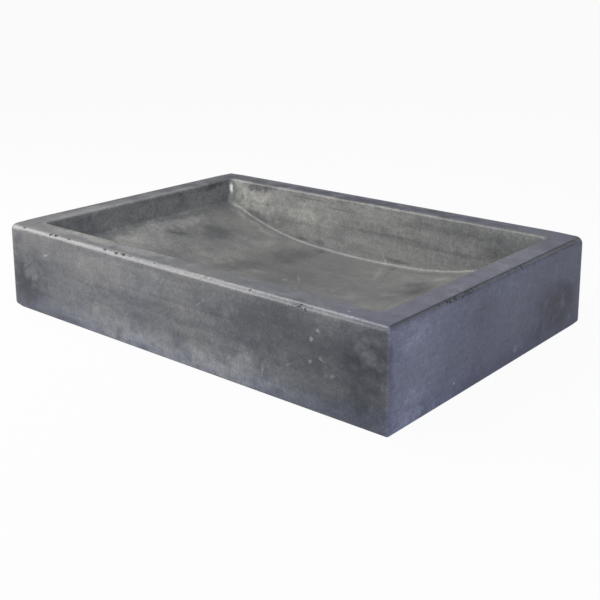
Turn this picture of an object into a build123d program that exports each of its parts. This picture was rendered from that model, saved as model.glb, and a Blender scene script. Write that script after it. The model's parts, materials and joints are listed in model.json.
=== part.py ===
from build123d import *
import math
import os

os.makedirs("parts", exist_ok=True)

# All sizes in millimetres. Origin: middle of the flat underside, where it stands on the worktop.
# +X runs along the long front face, +Y to the back, +Z up.

# Basin, outside
length = 550.0
depth = 380.0
height = 100.0
outerDraft = 1.42
outerCorner = 8.5
rimOuterRound = 5.5
footRound = 1.5

# Bowl, measured at the level of the rim. The shifts are those of the casting core in the photo
rimWidth = 30.5
bowlShiftX = 1.0
bowlShiftY = -2.0
innerDraft = 3.5
innerCorner = 7.0
rimInnerRound = 2.5
wallFootRound = 3.0

# Floor curve, seen from the front: a wide flat arc in the middle and a tighter arc to each end
floorLowX = -6.0
floorLow = 27.4
middleHalf = 82.0
middleRadius = 1230.0
floorRunOut = 12.0
floorEndHeight = 0.804 * height

# Place of the waste: on the lowest line of the floor, in the strip that the front rim hides
wasteX = floorLowX
wasteY = -45.0

# Seat of the waste in the floor, hole, and recess for the nut in the underside
seatGap = 1.5
seatDepth = 4.9
seatRound = 1.5
holeRadius = 23.0
recessRadius = 42.0
recessDepth = 10.0
recessRound = 2.5
recessMouth = 1.5

# Waste body: flange, throat, threaded tail and spider
flangeRadius = 31.5
flangeThick = 2.0
flangeEdge = 0.8
tailRadius = 20.955
boreRadius = 17.6
mouthRadius = 20.8
mouthDepth = 4.5
tailBelow = 43.0
tailChamfer = 1.2
trapStretch = 24.0
reliefWidth = 2.6
reliefDepth = 1.6
arms = 3
armWidth = 3.4
hubRadius = 7.5
hubHigh = 5.0
hubAboveEnd = 11.0
threadGap = 0.03

# Seals, slip washer and nut round the tail
sealThick = 1.8
washerGap = 0.25
underSealThick = 7.0
underSealRadius = 30.0
underSealTaper = 3.0
underSealEdge = 1.0
underLip = 2.5
underLipGap = 0.3
slipThick = 1.0
slipRadius = 29.0
backnutHigh = 8.0
backnutFlats = 53.0
backnutFace = 28.0
backnutFaceHigh = 1.5

# Click cartridge: barrel, lid, spring, cam ring and plunger
barrelRadius = 8.6
barrelBore = 7.2
barrelFloor = 2.5
footThread = 4.0
footBelowNut = 1.5
guideBore = 5.8
channelWidth = 4.8
guides = 4
guideRise = 1.6
lift = 9.0
press = 1.5
lidThick = 1.5
lidSkirt = 4.5
lidWall = 0.9
lidGap = 0.8
runGap = 0.08
sideGap = 0.2
faceGap = 0.1
lugHigh = 2.0
camHigh = 6.4
camRibHigh = 5.0
toothHigh = 1.2
teeth = 8
crownRadius = 5.4
pilotRadius = 2.4
pilotBelow = 2.0
stemRadius = 4.0
stemThread = 3.0
washerThick = 1.0
washerRadius = 7.5
hubNutHigh = 4.0
hubNutFlats = 13.0
springWire = 1.0
springMean = 4.8
springTurns = 5
wireSides = 8

# Plug: cap, seal carrier, ring and nut
capRadius = 31.0
capGap = 2.0
capEdge = 1.6
capCrown = 1.7
capSkin = 1.5
capLip = 1.6
capLipInside = 0.3
capEdgeRound = 0.7
bossRadius = 6.0
bossBlind = 2.6
carrierHigh = 7.0
carrierClear = 0.32
carrierHub = 5.4
carrierHollow = 12.6
carrierSkin = 2.0
carrierRibs = 6
carrierRib = 1.4
ringSection = 1.75
ringGap = 0.05
ringBelowThroat = 0.35
grooveGap = 0.12
stemNutHigh = 3.2
stemNutFlats = 10.0
nutClear = 0.6
ribSetBack = 1.0

# Sizes that follow from the ones above
topInset = height * math.tan(math.radians(outerDraft)) + rimWidth
bowlHalf = length / 2 - topInset
bowlDepth = depth - 2 * topInset
seatZ = floorLow - seatDepth
flangeUnder = seatZ + sealThick
flangeTop = flangeUnder + flangeThick
throatZ = flangeTop - mouthDepth
slipTop = recessDepth - underSealThick
backnutTop = slipTop - slipThick
backnutUnder = backnutTop - backnutHigh
tailEnd = -tailBelow
reliefUnder = tailEnd + trapStretch
hubUnder = tailEnd + hubAboveEnd
hubTop = hubUnder + hubHigh
capUnder = flangeTop + capGap
capTop = capUnder + capEdge + capCrown
stemTop = capTop - bossBlind
ringMiddle = throatZ - ringSection - ringBelowThroat
ringOuter = boreRadius - ringGap
carrierTop = ringMiddle + carrierHigh / 2
carrierUnder = carrierTop - carrierHigh
stemNutTop = carrierUnder + stemNutHigh
lidTop = carrierUnder - press - lidGap
barrelTop = lidTop - lidThick
barrelUnder = hubTop + washerThick
springFoot = barrelUnder + barrelFloor
lugTop = barrelTop - lift - faceGap
lugUnder = lugTop - lugHigh
guideFoot = lugUnder - press - 2 * faceGap
camTop = guideFoot - faceGap
camUnder = camTop - camHigh
toothFoot = camTop - toothHigh


# Flat ring about the Z axis
def ring(outer, inner, low, high):
    middle = Pos(0, 0, (low + high) / 2)
    return middle * Cylinder(outer, high - low) - middle * Cylinder(inner, high - low + 2)


# Solid turned about the Z axis from a closed outline of (radius, height) points
def turned(points):
    outline = Plane.XZ * make_face(Polyline(*points, close=True))
    return revolve(outline, Axis.Z, 360)


# Hexagon nut, its corners turned down to a cone at both ends
def hexNut(flats, low, high, bore):
    across = flats / 2 / math.cos(math.pi / 6)
    wide = across + 1
    slant = (wide - flats / 2) * math.tan(math.radians(30))
    prism = extrude(Pos(0, 0, low) * RegularPolygon(across, 6), high - low)
    cone = turned([
        (0, low),
        (flats / 2, low),
        (wide, low + slant),
        (wide, high - slant),
        (flats / 2, high),
        (0, high),
    ])
    return (prism & cone) - Pos(0, 0, (low + high) / 2) * Cylinder(bore, high - low + 2)


# The same shape repeated round the Z axis
def around(shape, count):
    return [Rot(0, 0, 360 * k / count) * shape for k in range(count)]


# Prism that runs out along +X from the Z axis, its outline given as (sideways, height) points
def radialPrism(points, reach):
    return extrude(Plane.YZ * make_face(Polyline(*points, close=True)), reach)


# Move a piece to the waste's axis, name it and write it
def saveAtWaste(shape, name):
    save(Pos(wasteX, wasteY, 0) * shape, name)


# Name a piece and write it
def save(shape, name):
    shape.label = name
    export_step(shape, f"parts/{name}.step")


# Space above the floor: three arcs that meet smoothly, drawn from the front and run along Y
def spaceOverFloor():
    slope = math.asin(middleHalf / middleRadius)
    rise = middleRadius * (1 - math.cos(slope))
    reach = bowlHalf + floorRunOut
    leftEnd = (floorLowX - reach, floorEndHeight)
    rightEnd = (floorLowX + reach, floorEndHeight)
    leftJoin = (floorLowX - middleHalf, floorLow + rise)
    rightJoin = (floorLowX + middleHalf, floorLow + rise)
    middleArc = ThreePointArc(leftJoin, (floorLowX, floorLow), rightJoin)
    rightArc = TangentArc(rightJoin, rightEnd, tangent=(math.cos(slope), math.sin(slope)))
    leftArc = TangentArc(leftJoin, leftEnd, tangent=(-math.cos(slope), math.sin(slope)))
    top = 2 * height
    sides = Polyline(leftEnd, (leftEnd[0], top), (rightEnd[0], top), rightEnd)
    outline = make_face(Curve() + [middleArc, rightArc, leftArc, sides])
    return extrude(Plane.XZ * outline, depth, both=True)


# True for an edge of the floor itself: not at the rim, not up a corner, not where two floor arcs meet
def isFootEdge(edge):
    box = edge.bounding_box()
    atRim = box.max.Z > height - 1
    arcJoin = box.size.X < 0.01 and abs(abs(box.center().X - floorLowX) - middleHalf) < 1
    return not atRim and not arcJoin


# Bowl: drafted pocket cut off by the floor, with its foot rounded all the way round
def bowlSpace():
    mouth = Pos(bowlShiftX, bowlShiftY, height) * RectangleRounded(2 * bowlHalf, bowlDepth, innerCorner)
    pocket = extrude(mouth, -height, taper=innerDraft) & spaceOverFloor()
    return fillet(pocket.edges().filter_by(isFootEdge), wallFootRound)


# Plain cylinder on the Z axis between two heights
def peg(radius, low, high):
    return Pos(0, 0, (low + high) / 2) * Cylinder(radius, high - low)


# Whole basin: drafted block, less the bowl, the seat and hole of the waste and the recess below it
def basinBody():
    block = extrude(RectangleRounded(length, depth, outerCorner), height, taper=outerDraft)
    block = fillet(block.faces().sort_by(Axis.Z)[-1].edges(), rimOuterRound)
    block = fillet(block.faces().sort_by(Axis.Z)[0].edges(), footRound)
    body = block - bowlSpace()
    rim = body.faces().filter_by(Plane.XY).sort_by(Axis.Z)[-1]
    body = fillet(rim.inner_wires()[0].edges(), rimInnerRound)
    waste = Pos(wasteX, wasteY, 0)
    seatRadius = flangeRadius + seatGap
    body -= waste * peg(seatRadius, seatZ, height)
    seatEdge = body.edges().filter_by(lambda e: aroundWaste(e, seatRadius, seatZ + 1, height))
    body = fillet(seatEdge, seatRound)
    body -= waste * fillet(peg(recessRadius, -recessRound * 2, recessDepth).edges().sort_by(Axis.Z)[-1], recessRound)
    body = chamfer(body.edges().filter_by(lambda e: aroundWaste(e, recessRadius, -1, 1)), recessMouth)
    return body - waste * peg(holeRadius, 0, seatZ + 1)


# True for an edge that runs round the waste's axis at this radius, between two heights
def aroundWaste(edge, radius, low, high):
    box = edge.bounding_box()
    centred = abs(box.center().X - wasteX) < 0.1 and abs(box.center().Y - wasteY) < 0.1
    sized = abs(box.size.X - 2 * radius) < 0.1 and abs(box.size.Y - 2 * radius) < 0.1
    return centred and sized and low < box.center().Z < high


# Whole waste body: flange and tail turned in one, with a hub held by arms near the lower end
def wasteBody():
    shell = turned([
        (boreRadius, tailEnd),
        (tailRadius - tailChamfer, tailEnd),
        (tailRadius, tailEnd + tailChamfer),
        (tailRadius, reliefUnder),
        (tailRadius - reliefDepth, reliefUnder),
        (tailRadius - reliefDepth, reliefUnder + reliefWidth),
        (tailRadius, reliefUnder + reliefWidth),
        (tailRadius, flangeUnder),
        (flangeRadius, flangeUnder),
        (flangeRadius, flangeTop),
        (mouthRadius, flangeTop),
        (boreRadius, throatZ),
    ])
    topEdges = shell.edges().filter_by(GeomType.CIRCLE).group_by(Axis.Z)[-1]
    shell = fillet(topEdges, flangeEdge)
    arm = radialPrism([
        (-armWidth / 2, hubUnder),
        (armWidth / 2, hubUnder),
        (armWidth / 2, hubTop),
        (-armWidth / 2, hubTop),
    ], boreRadius + 0.5)
    spider = peg(hubRadius, hubUnder, hubTop) + around(arm, arms)
    return shell + spider - peg(footThread + threadGap, hubUnder - 1, hubTop + 1)


# Tapered rubber washer with a lip that stands in the hole
def underSeal():
    return turned([
        (tailRadius + washerGap, slipTop),
        (underSealRadius - underSealTaper, slipTop),
        (underSealRadius, recessDepth - underSealEdge),
        (underSealRadius, recessDepth),
        (holeRadius - underLipGap, recessDepth),
        (holeRadius - underLipGap, recessDepth + underLip),
        (tailRadius + washerGap, recessDepth + underLip),
    ])


# Hexagon nut with a plain round face against the slip washer
def backnut():
    bore = tailRadius + threadGap
    nut = hexNut(backnutFlats, backnutUnder, backnutTop - backnutFaceHigh, bore)
    return nut + ring(backnutFace, bore, backnutTop - backnutFaceHigh, backnutTop)


# Barrel: tube with a threaded foot, and guide ribs left between the channels of its upper part
def cartridgeHousing():
    tube = peg(barrelRadius, barrelUnder, barrelTop) - peg(barrelBore, springFoot, guideFoot)
    tube -= peg(guideBore, guideFoot - 1, barrelTop + 1)
    channel = radialPrism([
        (-channelWidth / 2, guideFoot - 1),
        (channelWidth / 2, guideFoot - 1),
        (channelWidth / 2, barrelTop + 1),
        (-channelWidth / 2, barrelTop + 1),
    ], barrelBore)
    step = 2 * math.pi * guideBore / guides / 2
    ramp = radialPrism([
        (-step, guideFoot - 1),
        (step, guideFoot - 1),
        (step, guideFoot),
        (-step, guideFoot + guideRise),
    ], barrelBore)
    bore = peg(barrelBore, guideFoot - 1, barrelTop + 1)
    for cut in around(channel, guides) + around(Rot(0, 0, 180 / guides) * ramp, guides):
        tube -= cut & bore
    foot = peg(footThread, hubUnder - hubNutHigh - footBelowNut, barrelUnder)
    return tube + foot


# Lid that closes the barrel and guides the stem
def cartridgeCap():
    skirt = ring(barrelRadius + lidWall, barrelRadius + threadGap, barrelTop - lidSkirt, barrelTop)
    return skirt + ring(barrelRadius + lidWall, stemRadius + runGap, barrelTop, lidTop)


# Spring of eight-sided wire with a closed coil at each end
def spring():
    low = springFoot + springWire / 2
    high = camUnder - springWire / 2
    wire = RegularPolygon(springWire / 2, wireSides)
    closed = revolve(Plane.XZ * Pos(springMean, 0) * wire, Axis.Z, 360)
    turns = Helix((high - low) / springTurns, high - low, springMean)
    coil = sweep(Plane(turns @ 0, z_dir=turns % 0) * wire, turns, is_frenet=True)
    return Pos(0, 0, low) * (closed + coil) + Pos(0, 0, high) * closed


# Teeth pointing up, raised by a gap when they cut the teeth that face them
def crownTeeth(raised):
    half = math.pi * crownRadius / teeth
    tooth = radialPrism([
        (-half, toothFoot + raised),
        (half, toothFoot + raised),
        (0, camTop + raised),
    ], crownRadius + 1)
    base = peg(crownRadius + 1, toothFoot - 1, toothFoot + raised)
    return around(tooth, teeth) + [base]


# Ring that turns on the plunger's pilot, its ribs in the channels of the barrel
def camRing():
    body = ring(crownRadius, pilotRadius + runGap, camUnder, toothFoot)
    crown = ring(crownRadius, pilotRadius + runGap, toothFoot, camTop)
    half = channelWidth / 2 - sideGap
    rib = radialPrism([
        (-half, camTop - camRibHigh),
        (half, camTop - camRibHigh),
        (half, camTop),
        (-half, camTop - guideRise),
    ], barrelBore)
    band = ring(barrelBore - runGap, crownRadius - 0.5, camUnder, toothFoot)
    band += ring(barrelBore - runGap, crownRadius + sideGap, toothFoot, camTop)
    for tooth in crownTeeth(0):
        body += tooth & crown
    for wing in around(rib, guides):
        body += wing & band
    return body


# Plunger: stem with a threaded end, keys that ride in the channels, a toothed crown and a pilot
def plunger():
    body = ring(crownRadius, pilotRadius, toothFoot + faceGap, lugUnder + lugHigh / 2)
    for tooth in crownTeeth(faceGap):
        body -= tooth
    half = channelWidth / 2 - sideGap
    key = radialPrism([
        (-half, lugUnder),
        (half, lugUnder),
        (half, lugTop),
        (-half, lugTop),
    ], barrelBore)
    band = peg(barrelBore - runGap, lugUnder, lugTop)
    for wing in around(key, guides):
        body += wing & band
    body += peg(crownRadius, lugUnder, lugTop)
    body += peg(pilotRadius, camUnder - pilotBelow, lugTop)
    body += peg(stemRadius, lugTop, carrierUnder - faceGap)
    body += peg(stemThread, lugTop, stemTop)
    return body


# Domed cap with a thin turned-down lip and a boss for the stem
def plugCap():
    shoulder = capUnder + capEdge
    inside = capRadius - capLip
    underTop = capTop - capSkin
    topArc = ThreePointArc((0, capTop), domePoint(0, capTop, capRadius, shoulder), (capRadius, shoulder))
    underArc = ThreePointArc(
        (inside, capUnder + capLipInside),
        domePoint(0, underTop, inside, capUnder + capLipInside),
        (0, underTop),
    )
    lip = Polyline((capRadius, shoulder), (capRadius, capUnder), (inside, capUnder), (inside, capUnder + capLipInside))
    closing = Line((0, underTop), (0, capTop))
    shell = revolve(Plane.XZ * make_face(Curve() + [topArc, lip, underArc, closing]), Axis.Z, 360)
    rimEdge = shell.edges().filter_by(GeomType.CIRCLE).filter_by(lambda e: abs(e.radius - capRadius) < 0.01)
    shell = fillet(rimEdge.sort_by(Axis.Z)[-1], capEdgeRound)
    boss = peg(bossRadius, carrierTop, underTop + 0.5)
    return shell + boss - peg(stemThread + threadGap, carrierTop - 1, stemTop + faceGap)


# Point halfway along a shallow dome arc that is level on the axis
def domePoint(axisRadius, axisHeight, edgeRadius, edgeHeight):
    drop = axisHeight - edgeHeight
    curve = (edgeRadius**2 + drop**2) / (2 * drop)
    half = edgeRadius / 2
    return (half, axisHeight - curve + math.sqrt(curve**2 - half**2))


# Disc under the cap with a groove for the ring, hollow below, with ribs
def sealCarrier():
    grooveLow = ringMiddle - ringSection - grooveGap
    grooveHigh = ringMiddle + ringSection + grooveGap
    outer = boreRadius - carrierClear
    disc = peg(outer, carrierUnder, carrierTop)
    disc -= ring(outer + 1, ringOuter - 2 * ringSection - grooveGap, grooveLow, grooveHigh)
    hollow = peg(carrierHollow, carrierUnder - 1, carrierTop - carrierSkin)
    hollow -= peg(carrierHub, stemNutTop, carrierTop)
    disc -= hollow
    rib = radialPrism([
        (-carrierRib / 2, carrierUnder + ribSetBack),
        (carrierRib / 2, carrierUnder + ribSetBack),
        (carrierRib / 2, carrierTop - carrierSkin + 0.5),
        (-carrierRib / 2, carrierTop - carrierSkin + 0.5),
    ], carrierHollow + 0.5)
    clear = peg(stemNutFlats / 2 / math.cos(math.pi / 6) + nutClear, carrierUnder - 1, stemNutTop)
    for web in around(rib, carrierRibs):
        disc += web - clear
    return disc - peg(stemThread + threadGap, carrierUnder - 1, carrierTop + 1)


save(basinBody(), "basin_body")
saveAtWaste(wasteBody(), "waste_body")
saveAtWaste(ring(flangeRadius - 1, tailRadius + washerGap, seatZ, flangeUnder), "flange_seal")
saveAtWaste(underSeal(), "under_seal")
saveAtWaste(ring(slipRadius, tailRadius + washerGap, backnutTop, slipTop), "friction_washer")
saveAtWaste(backnut(), "backnut")
saveAtWaste(cartridgeHousing(), "cartridge_housing")
saveAtWaste(cartridgeCap(), "cartridge_cap")
saveAtWaste(spring(), "cartridge_spring")
saveAtWaste(camRing(), "cam_ring")
saveAtWaste(plunger(), "plunger")
saveAtWaste(ring(washerRadius, footThread + washerGap, hubTop, barrelUnder), "cartridge_washer")
saveAtWaste(hexNut(hubNutFlats, hubUnder - hubNutHigh, hubUnder, footThread + threadGap), "hub_nut")
saveAtWaste(plugCap(), "plug_cap")
saveAtWaste(sealCarrier(), "seal_carrier")
saveAtWaste(Pos(0, 0, ringMiddle) * Torus(ringOuter - ringSection, ringSection), "plug_seal")
saveAtWaste(hexNut(stemNutFlats, carrierUnder, stemNutTop, stemThread + threadGap), "stem_nut")
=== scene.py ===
import bpy
import bmesh
import json
import math
import numpy as np
from mathutils import Matrix, Vector


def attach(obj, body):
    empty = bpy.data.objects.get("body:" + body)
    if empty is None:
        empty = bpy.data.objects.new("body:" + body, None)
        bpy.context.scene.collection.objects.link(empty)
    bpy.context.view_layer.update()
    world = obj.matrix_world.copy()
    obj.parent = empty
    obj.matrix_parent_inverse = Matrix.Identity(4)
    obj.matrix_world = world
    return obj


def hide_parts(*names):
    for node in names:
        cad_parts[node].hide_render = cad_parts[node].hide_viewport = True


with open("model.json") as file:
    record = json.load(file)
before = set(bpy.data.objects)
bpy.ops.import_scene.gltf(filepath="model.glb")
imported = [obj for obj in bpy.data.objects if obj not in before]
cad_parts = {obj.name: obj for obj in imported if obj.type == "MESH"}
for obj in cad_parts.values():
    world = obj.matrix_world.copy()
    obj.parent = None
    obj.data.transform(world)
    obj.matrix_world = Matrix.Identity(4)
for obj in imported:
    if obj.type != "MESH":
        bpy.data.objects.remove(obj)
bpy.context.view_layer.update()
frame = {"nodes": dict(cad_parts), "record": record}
nodes = frame["nodes"]
mm = 0.001
print("frame:", len(nodes), "nodes loaded")


# Shapes: every new piece is one or more grids of points, worked out as whole arrays

def gridFaces(rows, columns, start, around, along):
    # Quads of a grid: each cell joins a point to its neighbours; a closed direction joins its last line to its first
    index = start + np.arange(rows * columns).reshape(rows, columns)
    if along:
        index = np.vstack([index, index[:1]])
    if around:
        index = np.hstack([index, index[:, :1]])
    return np.stack([index[:-1, :-1], index[:-1, 1:], index[1:, 1:], index[1:, :-1]], -1).reshape(-1, 4)


def makePiece(name, grids, body, material, standsFor=()):
    # grids: list of (points in millimetres (rows, columns, 3), closed around, closed along)
    places, faces, start = [], [], 0
    for points, around, along in grids:
        rows, columns = points.shape[:2]
        faces.append(gridFaces(rows, columns, start, around, along))
        places.append(points.reshape(-1, 3) * mm)
        start += rows * columns
    places, faces = np.vstack(places), np.vstack(faces)
    mesh = bpy.data.meshes.new(name)
    mesh.vertices.add(len(places))
    mesh.vertices.foreach_set("co", places.ravel())
    mesh.loops.add(faces.size)
    mesh.loops.foreach_set("vertex_index", faces.ravel().astype(np.int32))
    mesh.polygons.add(len(faces))
    mesh.polygons.foreach_set("loop_start", np.arange(0, faces.size, 4, dtype=np.int32))
    mesh.polygons.foreach_set("use_smooth", np.ones(len(faces), bool))
    mesh.update(calc_edges=True)
    work = bmesh.new()
    work.from_mesh(mesh)
    bmesh.ops.remove_doubles(work, verts=work.verts, dist=1e-6)  # closes poles
    bmesh.ops.dissolve_degenerate(work, edges=work.edges, dist=1e-7)
    bmesh.ops.recalc_face_normals(work, faces=work.faces)
    work.to_mesh(mesh)
    work.free()
    mesh.materials.append(material)
    piece = bpy.data.objects.new(name, mesh)
    bpy.context.scene.collection.objects.link(piece)
    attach(piece, body)
    if standsFor:
        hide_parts(*standsFor)
    return piece


def turn(profile, columns, axis):
    # Profile of (radius, height) rows turned about a vertical line at axis: x = axis x + r cos a, y = axis y + r sin a, z = height
    angle = np.linspace(0, 2 * math.pi, columns, endpoint=False)[None, :]
    radius, height = profile[:, :1], profile[:, 1:2]
    return np.stack([
        axis[0] + radius * np.cos(angle),
        axis[1] + radius * np.sin(angle),
        height + 0 * angle,
    ], -1)


def dense(points, step):
    # A run of straight lines through points, cut into equal steps no longer than step
    points = np.array(points, float)
    rows = [points[:1]]
    for a, b in zip(points[:-1], points[1:]):
        count = max(1, math.ceil(np.linalg.norm(b - a) / step))
        rows.append(a + (b - a) * np.arange(1, count + 1)[:, None] / count)
    return np.vstack(rows)


def softCorners(points, radius, steps=4):
    # Closed outline with each corner swapped for a short parabola that starts and ends radius away from it
    points = np.array(points, float)
    before, after = np.roll(points, 1, 0), np.roll(points, -1, 0)
    t = np.linspace(0, 1, steps + 1)[:, None]
    rows = []
    for a, p, b in zip(before, points, after):
        reachA = min(radius, np.linalg.norm(a - p) * 0.45)
        reachB = min(radius, np.linalg.norm(b - p) * 0.45)
        first = p + (a - p) / np.linalg.norm(a - p) * reachA
        last = p + (b - p) / np.linalg.norm(b - p) * reachB
        rows.append((1 - t) ** 2 * first + 2 * t * (1 - t) * p + t ** 2 * last)
    return np.vstack(rows)


def ripple(points, wavelength, seed, count=18):
    # Smooth random field from -1 to 1: the mean of sine waves of one wavelength in random directions with random phases
    rng = np.random.default_rng(seed)
    direction = rng.normal(size=(count, 3))
    direction /= np.linalg.norm(direction, axis=1)[:, None]
    phase = rng.uniform(0, 2 * math.pi, count)
    swing = rng.uniform(0.7, 1.4, count)
    total = np.zeros(points.shape[:-1])
    for d, p, s in zip(direction, phase, swing):
        total += np.sin(points @ d * (2 * math.pi / wavelength * s) + p)
    return total / math.sqrt(count) * 1.2


def ease(value, low, high):
    # 0 below low, 1 above high, with a smooth S between
    t = np.clip((value - low) / (high - low), 0, 1)
    return t * t * (3 - 2 * t)


# Materials: one class wraps a socket, so that shader sums read as sums

class Wire:
    # A socket of a material. Operators add Math nodes; any other node comes from node()
    def __init__(self, tree, socket=None):
        self.tree = tree
        self.socket = socket

    def node(self, kind, settings, values, out=0):
        made = self.tree.nodes.new(kind)
        for name, value in settings.items():
            if name == "stops":  # a ramp's stops: (place, colour) pairs
                ramp = made.color_ramp
                while len(ramp.elements) < len(value):
                    ramp.elements.new(0.5)
                for element, (place, colour) in zip(ramp.elements, value):
                    element.position = place
                    element.color = colour
            else:
                setattr(made, name, value)
        for name, value in values.items():
            if isinstance(value, Wire):
                self.tree.links.new(value.socket, made.inputs[name])
            else:
                made.inputs[name].default_value = value
        return Wire(self.tree, made.outputs[out])

    def sum(self, operation, a, b=0.0):
        return self.node("ShaderNodeMath", {"operation": operation}, {0: a, 1: b})

    def __add__(self, other):
        return self.sum("ADD", self, other)

    __radd__ = __add__

    def __sub__(self, other):
        return self.sum("SUBTRACT", self, other)

    def __rsub__(self, other):
        return self.sum("SUBTRACT", other, self)

    def __mul__(self, other):
        return self.sum("MULTIPLY", self, other)

    __rmul__ = __mul__

    def __truediv__(self, other):
        return self.sum("DIVIDE", self, other)

    def __pow__(self, other):
        return self.sum("POWER", self, other)

    def larger(self, other):
        return self.sum("MAXIMUM", self, other)

    def smaller(self, other):
        return self.sum("MINIMUM", self, other)

    def between(self, low, high):
        # 0 at low, 1 at high, with a smooth S between; low may be the larger
        return self.node("ShaderNodeMapRange", {"interpolation_type": "SMOOTHSTEP"},
                         {"Value": self, "From Min": low, "From Max": high, "To Min": 0.0, "To Max": 1.0})

    def plus(self, mask, amount):
        # This value and a share of a mask
        return self.node("ShaderNodeMath", {"operation": "MULTIPLY_ADD"}, {0: mask, 1: amount, 2: self})

    def mix(self, first, second):
        # Colour first where this value is 0, colour second where it is 1
        return self.node("ShaderNodeMix", {"data_type": "RGBA", "clamp_factor": True},
                         {0: self, 6: first, 7: second}, 2)

    def noise(self, scale, detail=3.0, roughness=0.5, warp=0.0):
        # Cloud noise over this place, about 0 to 1
        return self.node("ShaderNodeTexNoise", {}, {"Vector": self, "Scale": scale, "Detail": detail,
                                                    "Roughness": roughness, "Distortion": warp})

    def stretched(self, scale):
        # This place with each direction scaled, for streaks
        return self.node("ShaderNodeMapping", {}, {"Vector": self, "Scale": scale})

    def near(self, place, inner, outer):
        # 1 within inner of a point, 0 beyond outer
        gap = self.node("ShaderNodeVectorMath", {"operation": "DISTANCE"}, {0: self, 1: place}, "Value")
        return gap.between(outer, inner)

    def parts(self):
        # The three numbers of this place
        made = self.tree.nodes.new("ShaderNodeSeparateXYZ")
        self.tree.links.new(self.socket, made.inputs[0])
        return [Wire(self.tree, made.outputs[k]) for k in range(3)]

    def bump(self, height, depth, strength=1.0):
        return self.node("ShaderNodeBump", {}, {"Height": height, "Distance": depth, "Strength": strength})


def colour(r, g, b):
    # A screen colour of 0 to 255 as the linear numbers that a shader takes
    return tuple(((c / 255 + 0.055) / 1.055) ** 2.4 if c > 10.31 else c / 255 / 12.92 for c in (r, g, b)) + (1.0,)


def newMaterial(name, fixed):
    # Empty material with fixed numbers on the shader. Returns it, its shader and the place on the object
    material = bpy.data.materials.new(name)
    material.use_nodes = True
    tree = material.node_tree
    shader = tree.nodes["Principled BSDF"]
    for socket, value in fixed.items():
        shader.inputs[socket].default_value = value
    place = Wire(tree).node("ShaderNodeTexCoord", {}, {}, "Object")
    return material, shader, place


def plug(shader, **links):
    # Link wires to the shader's sockets: BaseColor stands for Base Color
    names = {"baseColor": "Base Color", "roughness": "Roughness", "normal": "Normal"}
    for name, wire in links.items():
        wire.tree.links.new(wire.socket, shader.inputs[names[name]])


concreteLook = {  # pairs of a dark, cool tone and a pale, warm one; dirt in the chips, also used as painted shade along the right top edge; the sheen
    "inside": (colour(87, 88, 92), colour(115, 114, 109)), "outside": (colour(76, 79, 90), colour(103, 102, 99)),
    # the right pair is a bluer copy of the outside tones: painted cool light on the right face and the rim's right side
    "right": (colour(76, 77, 95), colour(97, 98, 110)), "chipAndEdgeShade": colour(24, 24, 27),
    "gloss": 0.40, "polish": 0.28,
}
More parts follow.
